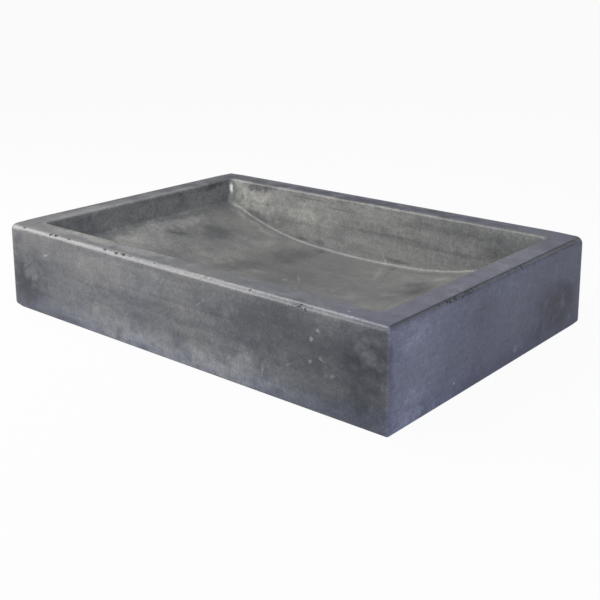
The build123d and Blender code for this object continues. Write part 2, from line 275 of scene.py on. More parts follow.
# Cloudy stains, some of them painted light as noted, in millimetres: middle, reach along x, y and z, share by which the
# tone rises or falls, softness of the edge (1 fades all the way), turn about z in degrees
stainsAndPaintedLight = [
    # front face: the two long bands along the foot (z 10 and 8) are painted light reflected up from the floor
    (-252, -188, 30, 40, 14, 36, -0.42, 0.8, 0), (-225, -188, 45, 46, 14, 46, -0.24, 0.7, 0),
    (-256, -188, 84, 14, 14, 10, -0.18, 0.8, 0), (-90, -188, 76, 130, 14, 32, 0.15, 0.8, 0),
    (-40, -188, 10, 210, 14, 28, 0.46, 0.9, 0), (60, -188, 80, 40, 14, 20, -0.12, 0.6, 0),
    (165, -188, 66, 128, 14, 46, -0.30, 0.6, 0), (252, -188, 54, 34, 14, 70, -0.34, 0.8, 0),
    (-190, -188, 64, 60, 14, 22, -0.10, 0.8, 0), (110, -188, 8, 110, 14, 20, 0.26, 0.9, 0),
    (180, -188, 26, 32, 14, 14, -0.14, 0.9, 0), (-20, -188, 88, 30, 14, 12, 0.10, 0.9, 0), (264, -188, 76, 20, 14, 28, -0.16, 0.9, 0),
    (108, -188, 26, 20, 14, 10, 0.20, 0.8, 0), (228, -188, 22, 56, 14, 30, -0.26, 0.9, 0),
    (-264, -188, 62, 26, 14, 30, -0.22, 0.9, 0), (214, -188, 56, 44, 14, 40, -0.10, 0.9, 0),
    (15, -188, 30, 16, 14, 12, -0.14, 0.8, 0), (-20, -188, 52, 160, 14, 8, -0.08, 0.9, 0),
    # right face: the first three lighten it near the front corner and along its foot, painted light
    (277, -160, 84, 8, 60, 22, 0.20, 0.9, 0), (277, -150, 20, 8, 44, 22, 0.18, 0.8, 0),
    (278, -150, 3, 9, 90, 18, 0.40, 0.8, 0), (272, 120, 34, 14, 78, 40, -0.40, 0.8, 0),
    (272, 150, 40, 14, 40, 50, -0.14, 0.9, 0), (272, 38, 19, 10, 13, 12, 0.30, 0.7, 0),
    (272, 155, 9, 10, 8, 7, 0.22, 0.9, 0), (272, -20, 86, 12, 120, 10, 0.08, 0.9, 0),
    (272, -60, 14, 14, 90, 20, 0.12, 0.9, 0),
    # floor
    (-186, 70, 46, 28, 38, 30, -0.30, 1.0, -8), (-204, 16, 54, 7, 26, 20, -0.22, 0.9, -20),
    (-82, 106, 32, 36, 52, 20, -0.24, 0.9, -12), (-100, 24, 31, 26, 44, 20, -0.20, 0.9, -6),
    (-66, 138, 32, 15, 14, 14, -0.28, 0.8, 0), (-104, 98, 33, 14, 24, 14, -0.12, 0.9, 0),
    (-224, 30, 62, 14, 80, 26, 0.30, 0.8, 0), (-166, 8, 46, 34, 20, 20, 0.06, 0.9, 20),
    (-136, 104, 36, 22, 30, 20, 0.12, 0.9, 0), (-190, 138, 52, 60, 12, 20, 0.17, 0.8, 0),
    (114, 88, 37, 18, 28, 18, -0.20, 0.9, 0), (136, 66, 42, 20, 26, 20, -0.22, 0.9, 0),
    (-212, -40, 58, 40, 70, 30, 0.22, 0.8, 0), (112, 44, 36, 15, 11, 14, 0.18, 0.8, 0),
    (132, 122, 42, 22, 11, 14, 0.22, 0.8, 0), (52, 138, 33, 9, 11, 12, -0.24, 0.7, 0),
    (46, 112, 32, 44, 5, 14, 0.18, 0.9, -64), (58, 112, 33, 26, 3, 14, -0.20, 0.9, -68),
    (76, 18, 32, 16, 10, 14, 0.18, 0.9, 0), (36, 20, 30, 15, 7, 14, -0.12, 0.9, 0),
    (-30, 62, 30, 120, 96, 20, -0.15, 0.8, 0), (90, 139, 34, 44, 5, 12, -0.16, 0.8, 0),
    (-150, 138, 42, 48, 14, 16, 0.18, 0.9, 0), (-100, 62, 32, 50, 50, 20, -0.08, 0.9, 0),
    (134, 48, 42, 46, 70, 20, -0.17, 0.9, 0), (-222, -60, 62, 30, 50, 26, 0.24, 0.9, 0),
    # back wall: the first five, on its left half, are painted light where the left wall's shadow falls and a painted
    # highlight widening the wall-foot line
    (-210, 154, 78, 70, 12, 32, 0.60, 0.9, 0), (-110, 154, 76, 96, 12, 34, 0.26, 0.9, 0),
    (-164, 154, 62, 34, 12, 20, 0.32, 0.9, 0), (-96, 154, 42, 84, 12, 14, 0.20, 0.9, 0),
    (-180, 154, 90, 50, 12, 14, 0.22, 0.9, 0), (-10, 154, 92, 60, 12, 9, 0.12, 0.9, 0),
    (40, 154, 64.5, 110, 12, 4.6, -0.20, 0.9, 0), (110, 154, 60, 90, 12, 4.2, -0.18, 0.9, 0),
    (-95, 154, 92.5, 56, 12, 1.8, -0.20, 0.9, 0), (-50, 154, 85.5, 40, 12, 1.8, -0.18, 0.9, 0),
    (64, 154, 84, 44, 12, 16, -0.13, 0.9, 0), (-107, 154, 37, 12, 12, 4, -0.30, 0.8, 0),
    (-78, 154, 37, 12, 12, 4.6, -0.34, 0.8, 0), (48, 154, 35, 30, 12, 3.6, -0.26, 0.8, 0),
    (140, 154, 86, 100, 12, 13, -0.14, 0.8, 0), (190, 154, 70, 50, 12, 22, -0.18, 0.8, 0),
    (-20, 154, 46, 60, 12, 7, 0.12, 0.8, 0),
    # left wall and rim
    (-243, 60, 95, 6, 120, 5, -0.12, 0.7, 0), (-240, 10, 86, 10, 190, 30, 0.15, 0.5, 0),
    (-120, -168, 100, 170, 14, 8, 0.25, 0.6, 0), (160, -174, 100, 60, 9, 8, 0.12, 0.9, 0), (-190, 164, 100, 120, 16, 8, -0.20, 0.7, 0), (0, 168, 100, 290, 18, 8, -0.32, 0.8, 0),
    (258, 0, 100, 22, 190, 8, 0.10, 0.9, 0), (-262, 40, 100, 12, 150, 8, -0.16, 0.9, 0), (-249, 110, 100, 15, 110, 8, -0.24, 0.8, 0),
    (-248, -90, 100, 15, 80, 8, 0.24, 0.8, 0),
]
# Small marks with clean edges, in the same form but turned about x, y and z: specks, scratches, drips, and one painted
# highlight
marksAndPaintedHighlight = [
    (187.9, -188, 69.7, 2.9, 8, 4.0, 0.62, 0.9, (0, 0, 0)), (195.8, -188, 79.3, 2.3, 8, 2.8, 0.62, 0.9, (0, 0, 0)),
    (187, -188, 48, 2.6, 8, 5.0, 0.5, 0.9, (0, 25, 0)), (200, -188, 53, 4.5, 8, 2.6, 0.45, 0.9, (0, 30, 0)),
    (213, -188, 40, 4.0, 8, 3.0, 0.45, 0.9, (0, -20, 0)), (129, -188, 23, 1.2, 8, 9, 0.40, 0.9, (0, 6, 0)),
    (-244, -188, 54, 12, 8, 1.4, 0.40, 0.9, (0, -38, 0)), (-200, -188, 75, 12, 8, 1.2, 0.40, 0.9, (0, -28, 0)),
    (-264, -188, 66, 12, 8, 1.4, 0.40, 0.9, (0, 34, 0)), (-205, -188, 73, 2.4, 8, 1.6, 0.6, 0.9, (0, 0, 0)),
    (0, -188, 65, 150, 8, 1.3, -0.14, 0.9, (0, 0.3, 0)), (110, -188, 35, 80, 8, 1.0, -0.14, 0.9, (0, -0.8, 0)),
    (-10, -188, 81, 20, 8, 1.2, 0.20, 0.9, (0, -52, 0)), (46, -188, 72, 12, 8, 1.0, 0.3, 0.9, (0, -36, 0)),
    (14, -188, 33, 1.1, 8, 7, -0.34, 0.9, (0, 8, 0)), (20, -188, 31, 1.0, 8, 6, -0.30, 0.9, (0, -4, 0)),
    (7, -188, 28, 1.0, 8, 5, -0.26, 0.9, (0, 10, 0)), (-118, -188, 34, 8, 8, 1.0, -0.30, 0.9, (0, 2, 0)),
    (165, -188, 40, 16, 8, 1.2, 0.22, 0.9, (0, -24, 0)), (-262, -188, 28, 10, 8, 1.2, 0.30, 0.9, (0, 3, 0)),
    (-18, 38, 28, 24, 1.8, 12, 0.30, 0.9, (0, 0, -48)), (-28, 24, 28, 5, 5, 12, 0.34, 0.9, (0, 0, 0)),
    (0, 12, 28, 14, 1.2, 12, 0.24, 0.9, (0, 0, -50)), (28, 152, 34, 20, 10, 1.4, 0.24, 0.9, (0, 62, 0)),
    (272, -83, 15, 8, 2.0, 1.4, 1.0, 0.7, (0, 0, 0)), (272, 34, 11, 8, 1.2, 9, 0.42, 0.9, (4, 0, 0)),
    (272, 38, 14, 8, 0.9, 9, 0.34, 0.9, (0, 0, 0)), (219.9, -174.8, 100, 3, 2, 4, 0.6, 0.7, (0, 0, 0)),
    # the first mark on the next line is a painted highlight: a bright vertical spot in the back left inner corner
    (-238.4, 152.3, 88, 3.4, 3.4, 9, 2.0, 0.8, (0, 0, 0)), (-190, -60, 50, 60, 2.0, 24, 0.14, 0.9, (0, 0, 38)),
]
# Chipped stretches of the right top edge: middle, reach, how full of chips
chipped = [
    (270, -75, 98, 9, 62, 8, 0.56), (270, 36, 98, 9, 70, 8, 0.42), (270, 140, 98, 9, 52, 8, 0.40),
    (170, -186, 98, 14, 8, 6, 0.5), (60, -186, 98, 12, 8, 6, 0.3), (-245, -186, 98, 20, 8, 6, 0.3),
]
# Nicks broken out of the front top edge: middle, reach along x, y and z
nicks = [
    (-193.5, -185.4, 99.3, 3.6, 1.5, 2), (-184.5, -184.8, 99.5, 3.8, 1.3, 2), (-161, -184.8, 99.5, 3.2, 1.6, 2),
    (-99.5, -185, 99.4, 2.6, 1.3, 2), (-81, -185.4, 99.3, 4.6, 1.3, 2), (-70, -185, 99.4, 4.4, 1.4, 2),
    (-60, -184.8, 99.5, 3.0, 1.1, 2), (175, -185.6, 99.2, 2.2, 1.1, 2), (180.5, -187.8, 95.2, 0.9, 3, 2.4),
    (112, -185.2, 99.4, 1.8, 1.0, 2), (-20, -185, 99.4, 1.4, 0.9, 2), (-243, -185.2, 99.3, 1.6, 1.0, 2),
]


def blot(place, middle, reach, soft, turn=(0.0, 0.0, 0.0)):
    # 1 in the middle of an ellipsoid, 0 outside it; soft is the share of its reach over which it fades. The ball
    # gradient takes the moved place as it is, which keeps a long chain of blots within what a shader can hold
    local = place.node("ShaderNodeMapping", {"vector_type": "TEXTURE"}, {
        "Vector": place, "Location": tuple(v * mm for v in middle), "Scale": tuple(v * mm for v in reach),
        "Rotation": tuple(math.radians(v) for v in turn)})
    ball = place.node("ShaderNodeTexGradient", {"gradient_type": "SPHERICAL"}, {"Vector": local}, "Fac")
    return ball.between(0.0, soft)


def concrete():
    look = concreteLook
    material, shader, place = newMaterial("waxedConcrete", {"Specular IOR Level": 0.42})

    def shifted(start, scale, far):
        # Place moved by cloud noise, which makes the outline of a stain ragged
        drift = place.node("ShaderNodeTexNoise", {}, {"Vector": place, "Scale": scale, "Detail": 3.0}, "Color")
        drift = place.node("ShaderNodeVectorMath", {"operation": "SUBTRACT"}, {0: drift, 1: (0.5, 0.5, 0.5)})
        return place.node("ShaderNodeVectorMath", {"operation": "MULTIPLY_ADD"}, {0: drift, 1: (far,) * 3, 2: start})

    torn = shifted(place, 420.0, 0.006)
    warped = shifted(shifted(place, 24.0, 0.034), 95.0, 0.018)
    cloud = place.noise(7.0, 4.0, 0.55, 0.4)
    patch = warped.noise(26.0, 6.0, 0.68, 0.8)
    mottle = place.noise(80.0, 4.0, 0.65, 0.6)
    grain = place.noise(310.0, 3.0, 0.7)
    sand = place.noise(760.0, 2.0, 0.6)
    wiped = torn.stretched((10.0, 60.0, 170.0)).noise(1.0, 5.0, 0.68, 0.3)  # streaks that run along the faces
    brushed = torn.stretched((40.0, 130.0, 420.0)).noise(1.0, 3.0, 0.6)
    x, y, z = place.parts()
    side = x.sum("ABSOLUTE", x)
    depth = y.sum("ABSOLUTE", y)
    reach = (side - 0.085).larger(depth)  # 0.19 on the outside, 0.159 at the bowl
    outside = reach.between(0.156, 0.161)
    rightward = (x + z * 0.0248).between(0.2718, 0.2740)
    # painted cool light: the right face and the rim's right side take the bluer right pair
    paintedCoolSide = rightward.larger(z.between(0.097, 0.0995) * outside * (x + y).between(-0.15, 0.15) * 0.6)
    backWall = y.between(0.140, 0.150) * depth.between(0.168, 0.158)
    runs = place.stretched((330.0, 330.0, 26.0)).noise(1.0, 3.0, 0.6)  # faint runs down the back wall

    shade = cloud * 0.0 + 1.0
    for *middle, a, b, c, amount, soft, turn in stainsAndPaintedLight:
        start = torn if min(a, b, c) < 7 else warped  # thin stains keep their line
        shade = shade.plus(blot(start, middle, (a, b, c), soft, (0, 0, turn)), amount)
    # the last term is painted light on the right face near the front corner
    shade = 1.0 + (shade - 1.0) * (0.6 + patch * 0.8) + rightward * y.between(-0.04, -0.16) * 0.22
    # a lighter band along the front top edge: painted highlight that widens the lamps' highlight line
    shade = shade + reach.between(0.1815, 0.1845) * z.between(0.0925, 0.0968) * y.between(-0.170, -0.178) * 0.08
    tone = shade + (cloud - 0.5) * 0.16 + (patch - 0.5) * 0.34 + (mottle - 0.5) * 0.30
    tone = tone + (wiped - 0.5) * 0.36 + (runs - 0.5) * backWall * 0.22 * x.between(-0.08, 0.10)
    for *middle, a, b, c, amount, soft, turn in marksAndPaintedHighlight:
        tone = tone.plus(blot(torn, middle, (a, b, c), soft, turn), amount)
    # on the outside the colour turns to the cool tone towards the foot: painted cool light from below
    warmth = 0.5 + (tone - 1.0) * 0.9 + (cloud - 0.5) * 0.9 - outside * z.between(0.034, 0.004) * 0.5
    fine = 1.0 + (grain - 0.5) * 0.95 + (sand - 0.5) * 1.10 + (brushed - 0.5) * 0.26
    inside = warmth.mix(*look["inside"])
    base = outside.mix(inside, warmth.mix(*look["outside"]))
    base = paintedCoolSide.mix(base, warmth.mix(*look["right"]))
    level = (0.55 + tone * 0.45) * tone.larger(0.3) * fine.larger(0.3)
    base = place.node("ShaderNodeVectorMath", {"operation": "SCALE"}, {0: base, "Scale": level})

    edge = reach.between(0.1825, 0.1845) * z.between(0.0935, 0.0968)  # the rounded top edge
    full = edge * 0.10
    for *middle, a, b, c, amount in chipped:
        full = full + blot(torn, middle, (a, b, c), 0.8) * edge * amount
    ragged = place.noise(420.0, 3.0, 0.7, 0.4)
    chips = (ragged + full * 0.26).between(0.70, 0.73) * edge.smaller(full * 8.0)
    pits = place.node("ShaderNodeTexVoronoi", {"feature": "F1"}, {"Vector": place, "Scale": 90.0, "Randomness": 1.0})
    pits = pits.between(0.07, 0.035) * place.noise(27.0, 1.0, 0.5).between(0.64, 0.70)
    for *middle, a, b, c in nicks:
        pits = pits.larger(blot(torn, middle, (a, b, c), 0.5))
    hollow = chips.larger(pits)
    paintedEdgeShade = (x - depth).between(0.085, 0.088) * reach.between(0.1824, 0.1844) * reach.between(0.1880, 0.1858) * z.between(0.0950, 0.0980)
    base = (paintedEdgeShade * (0.55 + grain * 0.4)).mix(base, look["chipAndEdgeShade"])  # painted shade along the rounding of the right top edge
    base = hollow.mix(base, look["chipAndEdgeShade"])

    rough = look["gloss"] + (patch - 0.5) * 0.20 + (mottle - 0.5) * 0.12 + (grain - 0.5) * 0.16
    rough = edge.node("ShaderNodeMix", {}, {0: edge, 2: rough, 3: look["polish"]}) + hollow * 0.3
    height = (grain * 0.5 + mottle * 0.5 + sand * 0.2 + brushed * 0.3) * (1 - edge * 0.85) - hollow * 6.0
    plug(shader, baseColor=base, roughness=rough, normal=place.bump(height, 0.00016))
    return material


def chromedBrass():
    material, shader, place = newMaterial("polishedChrome", {"Metallic": 1.0})
    smear = place.noise(60.0, 4.0, 0.6, 1.5)
    scratch = place.stretched((900.0, 60.0, 900.0)).noise(1.0, 2.0, 0.5)
    base = smear.mix(colour(226, 228, 231), colour(238, 239, 241))
    plug(shader, baseColor=base, roughness=0.05 + smear * 0.07 + scratch * 0.03,
         normal=place.bump(scratch, 0.000004))
    return material


def turnedBrass():
    material, shader, place = newMaterial("turnedBrass", {"Metallic": 1.0})
    rings = place.stretched((20.0, 20.0, 4000.0)).noise(1.0, 3.0, 0.6)
    tarnish = place.noise(180.0, 4.0, 0.6, 0.8)
    base = tarnish.between(0.35, 0.75).mix(colour(222, 190, 120), colour(176, 140, 78))
    plug(shader, baseColor=base, roughness=0.22 + rings * 0.14 + tarnish * 0.12,
         normal=place.bump(rings, 0.00003))
    return material


def blackRubber():
    material, shader, place = newMaterial("blackRubber", {"Specular IOR Level": 0.35})
    dust = place.noise(260.0, 4.0, 0.6)
    mould = place.noise(1400.0, 2.0, 0.5)
    base = dust.between(0.45, 0.8).mix(colour(28, 28, 29), colour(52, 52, 53))
    plug(shader, baseColor=base, roughness=0.62 + dust * 0.2, normal=place.bump(mould, 0.00005))
    return material


def mouldedPlastic(name, body, worn):
    material, shader, place = newMaterial(name, {"Specular IOR Level": 0.45})
    cloudy = place.noise(90.0, 3.0, 0.5)
    spark = place.noise(2600.0, 1.0, 0.5)
    base = cloudy.between(0.3, 0.8).mix(body, worn)
    plug(shader, baseColor=base, roughness=0.34 + cloudy * 0.16, normal=place.bump(spark, 0.00002))
    return material


def springSteel():
    material, shader, place = newMaterial("drawnSteel", {"Metallic": 1.0})
    drawn = place.noise(700.0, 3.0, 0.6)
    base = drawn.mix(colour(165, 166, 168), colour(205, 206, 208))
    plug(shader, baseColor=base, roughness=0.22 + drawn * 0.16, normal=place.bump(drawn, 0.00001))
    return material


finishes = {
    "concrete": concrete(),
    "chromed_brass": chromedBrass(),
    "brass": turnedBrass(),
    "black_rubber": blackRubber(),
    "white_plastic": mouldedPlastic("whiteAcetal", colour(236, 235, 229), colour(222, 220, 211)),
    "grey_plastic": mouldedPlastic("greyAcetal", colour(118, 121, 125), colour(100, 103, 107)),
    "spring_steel": springSteel(),
}
for part in frame["record"]["subparts"]:  # every node takes the finish of its slot
    mesh = nodes[part["node"]].data
    mesh.materials.clear()
    mesh.materials.append(finishes[part["material_slot"]])
print("materials:", len(finishes), "finishes")


# The basin: one closed skin, laid as rings from the underside, through the waste hole, over the floor and rim and down the outside

basin = {  # millimetres and degrees
    "length": 550.0, "depth": 380.0, "height": 100.0, "outerDraft": 1.42,
    "rimOuterRound": 5.5, "footRound": 1.5, "rimWidth": 30.5, "bowlShift": (1.0, -2.0),
    # front left, front right, back right, back left: the near corner is crisp, the others are worn rounder
    "outerCorners": (8.5, 2.6, 9.0, 8.5), "rimExtra": (2.5, 0.0, 3.0, 2.0), "footExtra": (3.0, 0.0, 1.0, 1.0), "rimWear": 16.0, "footWear": 6.0,
    "innerDraft": 3.5, "innerCorner": 7.0, "rimInnerRound": 2.5, "wallFootRound": 3.0,
    "floorLowX": -6.0, "floorLow": 27.4, "middleHalf": 82.0, "middleRadius": 1230.0,
    "floorRunOut": 12.0, "floorEnd": 80.4, "waste": (-6.0, -45.0), "seatRadius": 33.0,
    "seatZ": 22.5, "seatRound": 1.5, "holeRadius": 23.0, "recessRadius": 42.0,
    "recessDepth": 10.0, "recessRound": 2.5, "recessMouth": 1.5,
    "sideSteps": (190, 130, 100, 70), "cornerSteps": 7,
}
outerTan = math.tan(math.radians(basin["outerDraft"]))
innerTan = math.tan(math.radians(basin["innerDraft"]))
topInset = basin["height"] * outerTan + basin["rimWidth"]
bowlHalf = basin["length"] / 2 - topInset
bowlHalfDepth = basin["depth"] / 2 - topInset


def floorHeight(x):
    # Wide arc about the low line, then on each side the arc that meets it smoothly and passes through the run-out point
    b = basin
    u = np.abs(x - b["floorLowX"])
    slope = math.asin(b["middleHalf"] / b["middleRadius"])
    joinZ = b["floorLow"] + b["middleRadius"] * (1 - math.cos(slope))
    dx = bowlHalf + b["floorRunOut"] - b["middleHalf"]
    dz = b["floorEnd"] - joinZ
    radius = (dx * dx + dz * dz) / 2 / (dz * math.cos(slope) - dx * math.sin(slope))
    centreX = b["middleHalf"] - radius * math.sin(slope)
    centreZ = joinZ + radius * math.cos(slope)
    middle = b["floorLow"] + b["middleRadius"] - np.sqrt(b["middleRadius"] ** 2 - np.minimum(u, b["middleHalf"]) ** 2)
    end = centreZ - np.sqrt(np.maximum(radius ** 2 - (np.maximum(u, b["middleHalf"]) - centreX) ** 2, 1.0))
    return np.where(u < b["middleHalf"], middle, end)


def tripRound():
    # One trip round a rounded rectangle from the front left corner, anticlockwise. For each step: signs of the two corners
    # it lies between, the share of the way from one to the other, and the outward direction
    corners = [(-1, -1), (1, -1), (1, 1), (-1, 1)]
    first, second, share, heading = [], [], [], []
    for k, count in enumerate(basin["sideSteps"]):
        a, b = corners[k], corners[(k + 1) % 4]
        first += [a] * count
        second += [b] * count
        share += list(np.linspace(0, 1, count))
        heading += [(k - 1) * 90.0] * count
        steps = basin["cornerSteps"]
        first += [b] * steps
        second += [b] * steps
        share += [0.0] * steps
        heading += list((k - 1) * 90.0 + 90.0 * np.arange(1, steps + 1) / (steps + 1))
    return np.array(first, float), np.array(second, float), np.array(share)[:, None], np.radians(np.array(heading))


cornerA, cornerB, shareAlong, headings = tripRound()
outward = np.stack([np.cos(headings), np.sin(headings)], -1)


def ringAt(inset, half, corner, centre=(0.0, 0.0)):
    # Rounded rectangle drawn in by inset: corner centres are kept, so the corner radius shrinks by the same amount
    inset = np.asarray(inset, float) + np.zeros(len(headings))
    core = (np.array(half, float) - corner)
    spot = (1 - shareAlong) * cornerA + shareAlong * cornerB
    return np.array(centre) + spot * core + outward * (corner - inset)[:, None]


def cornerValue(values, wear=None):
    # A value for each corner, spread over the trip: straight from one to the next, or fading out within wear of each corner
    order = {(-1, -1): 0, (1, -1): 1, (1, 1): 2, (-1, 1): 3}
    a = np.array([values[order[tuple(c)]] for c in cornerA.astype(int).tolist()])
    b = np.array([values[order[tuple(c)]] for c in cornerB.astype(int).tolist()])
    share = shareAlong[:, 0]
    if wear is None:
        return a + (b - a) * share
    length = np.where(cornerA[:, 0] != cornerB[:, 0], basin["length"], basin["depth"])
    near, far = np.exp(-(share * length / wear) ** 2), np.exp(-((1 - share) * length / wear) ** 2)
    return a * near + b * far * (share > 0)


def outerRing(inset, radius):
    # Rounded rectangle inset from the outside, with its own corner radius at each corner
    spot = (1 - shareAlong) * cornerA + shareAlong * cornerB
    half = np.array([basin["length"] / 2, basin["depth"] / 2])
    return spot * (half - (inset + radius)[:, None]) + outward * radius[:, None]


def ringRow(flat, height):
    return np.column_stack([flat, np.asarray(height, float) + np.zeros(len(flat))])


def arcRows(start, corner, end, weight, steps):
    # Rounded edge between two rows: a weighted parabola that leaves start and reaches end along the two sides of corner
    rows = []
    weight = np.asarray(weight, float) + np.zeros(len(start))
    for t in np.linspace(0, 1, steps + 1):
        a, b, c = (1 - t) ** 2, 2 * t * (1 - t) * weight, t ** 2
        rows.append((a * start + b[:, None] * corner + c * end) / (a + b + c)[:, None])
    return rows


def lineRows(start, end, steps, ease=1.0):
    # Rows between two rows, both left out
    return [start + (end - start) * (k / steps) ** ease for k in range(1, steps)]


def basinRows():
    b = basin
    outerRadius = cornerValue(b["outerCorners"])
    inner = (bowlHalf, bowlHalfDepth)
    centre = np.array(b["waste"])
    top = b["height"]

    # foot of the bowl's wall: where the drafted wall meets the floor
    inset = np.zeros(len(headings))
    for k in range(6):
        flat = ringAt(inset, inner, b["innerCorner"], b["bowlShift"])
        inset = (top - floorHeight(flat[:, 0])) * innerTan
    footCorner = ringRow(flat, floorHeight(flat[:, 0]))
    step = ringAt(inset + 1.0, inner, b["innerCorner"], b["bowlShift"])
    fall = np.arctan(floorHeight(flat[:, 0]) - floorHeight(step[:, 0]))
    bend = math.pi / 2 - math.radians(b["innerDraft"]) - fall
    reach = b["wallFootRound"] * np.tan(bend / 2)
    up = ringAt(inset - reach * math.sin(math.radians(b["innerDraft"])), inner, b["innerCorner"], b["bowlShift"])
    wallFoot = ringRow(up, footCorner[:, 2] + reach * math.cos(math.radians(b["innerDraft"])))
    inFlat = ringAt(inset + reach * np.cos(fall), inner, b["innerCorner"], b["bowlShift"])
    floorEdge = ringRow(inFlat, floorHeight(inFlat[:, 0]))

    # circles about the waste, each step of the trip keeping its own bearing from the waste
    bearing = np.arctan2(inFlat[:, 1] - centre[1], inFlat[:, 0] - centre[0])
    spoke = np.stack([np.cos(bearing), np.sin(bearing)], -1)

    def circle(radius, height):
        flat = centre + radius * spoke
        return ringRow(flat, floorHeight(flat[:, 0]) if height is None else height)

    tiny = 0.25  # an edge that stays crisp has rows this close on both sides
    seat, hole, recess = b["seatRadius"], b["holeRadius"], b["recessRadius"]
    ceiling = b["recessDepth"]
    rows = []
    # underside, from the foot rounding in to the recess
    footReach = (b["footRound"] + cornerValue(b["footExtra"], b["footWear"])) * math.tan(math.radians(90 + b["outerDraft"]) / 2)
    soleEdge = ringRow(outerRing(footReach, np.maximum(outerRadius - footReach, 0.6)), 0.0)
    mouth = circle(recess + b["recessMouth"], 0.0)
    rows += [soleEdge] + lineRows(soleEdge, mouth, 14) + [circle(recess + b["recessMouth"] + tiny, 0.0), mouth]
    rows += [circle(recess + tiny, b["recessMouth"] - tiny), circle(recess, b["recessMouth"] + tiny)]
    rows += [circle(recess, 4.0)]
    rows += arcRows(circle(recess, ceiling - b["recessRound"]), circle(recess, ceiling),
                    circle(recess - b["recessRound"], ceiling), 0.7071, 4)
    rows += [circle(34.0, ceiling), circle(28.0, ceiling), circle(hole + tiny, ceiling), circle(hole, ceiling + tiny)]
    rows += [circle(hole, z) for z in (12.0, 15.0, 18.0, b["seatZ"] - tiny)]
    rows += [circle(hole + tiny, b["seatZ"])] + [circle(r, b["seatZ"]) for r in (26.0, 29.0, 31.0, seat - tiny)]
    rows += [circle(seat, b["seatZ"] + tiny), circle(seat, b["seatZ"] + 1.5)]
    seatTop = circle(seat, None)
    drop = seatTop.copy()
    drop[:, 2] -= b["seatRound"]
    rows += arcRows(drop, seatTop, circle(seat + b["seatRound"], None), 0.7071, 5)
    # floor: straight out along each bearing, raised to the floor curve
    floorStart = circle(seat + b["seatRound"], None)
    for row in lineRows(floorStart, floorEdge, 52, 1.0):
        row[:, 2] = floorHeight(row[:, 0])
        rows.append(row)
    rows += arcRows(floorEdge, footCorner, wallFoot, np.cos(bend / 2), 6)
    # inner wall and the rim's inner rounding
    turnIn = math.radians(90 - b["innerDraft"])
    reachIn = b["rimInnerRound"] * math.tan(turnIn / 2)
    wallTop = ringRow(ringAt(reachIn * math.sin(math.radians(b["innerDraft"])), inner, b["innerCorner"], b["bowlShift"]),
                      top - reachIn * math.cos(math.radians(b["innerDraft"])))
    rows += lineRows(wallFoot, wallTop, 16)
    lip = ringRow(ringAt(0, inner, b["innerCorner"], b["bowlShift"]), top)
    rimIn = ringRow(ringAt(-reachIn, inner, b["innerCorner"], b["bowlShift"]), top)
    rows += arcRows(wallTop, lip, rimIn, math.cos(turnIn / 2), 8)
    # flat of the rim, outer rounding, outer wall, foot rounding
    turnOut = math.radians(90 - b["outerDraft"])
    reachOut = (b["rimOuterRound"] + cornerValue(b["rimExtra"], b["rimWear"])) * math.tan(turnOut / 2)
    rimOut = ringRow(outerRing(top * outerTan + reachOut, np.maximum(outerRadius - reachOut, 0.6)), top)
    rows += lineRows(rimIn, rimOut, 9)
    edge = ringRow(outerRing(top * outerTan + 0 * reachOut, outerRadius), top)
    low = reachOut * math.cos(math.radians(b["outerDraft"]))
    faceTop = ringRow(outerRing((top - low) * outerTan, outerRadius), top - low)
    rows += arcRows(rimOut, edge, faceTop, math.cos(turnOut / 2), 11)
    rise = footReach * math.cos(math.radians(b["outerDraft"]))
    faceFoot = ringRow(outerRing(rise * outerTan, outerRadius), rise)
    rows += lineRows(faceTop, faceFoot, 36)
    foot = ringRow(outerRing(0 * rise, outerRadius), 0.0)
    rows += arcRows(faceFoot, foot, soleEdge, math.cos(turnOut / 2), 6)[:-1]
    return np.stack(rows)


basinPoints = basinRows()
basinPiece = makePiece("basinSkin", [(basinPoints, True, True)], "basin", finishes["concrete"],
                       ("basin_body",))
print("basin:", basinPoints.shape[0], "rings of", basinPoints.shape[1])


# The waste body: flange and threaded tail turned in one, spider and hub inside it

waste = {  # millimetres
    "tail": 20.955, "bore": 17.6, "flange": 31.5, "mouth": 20.8, "flangeTop": 26.3, "flangeUnder": 24.3,
    "throat": 21.8, "tailEnd": -43.0, "chamfer": 1.2, "reliefUnder": -19.0, "reliefTop": -16.4, "relief": 1.6,
    "pitch": 2.309, "threadDepth": 1.3, "threadTop": 16.0, "hubUnder": -32.0, "hubTop": -27.0,
    "hub": 7.5, "hubBore": 4.03, "arms": 3, "armWidth": 3.4,
}


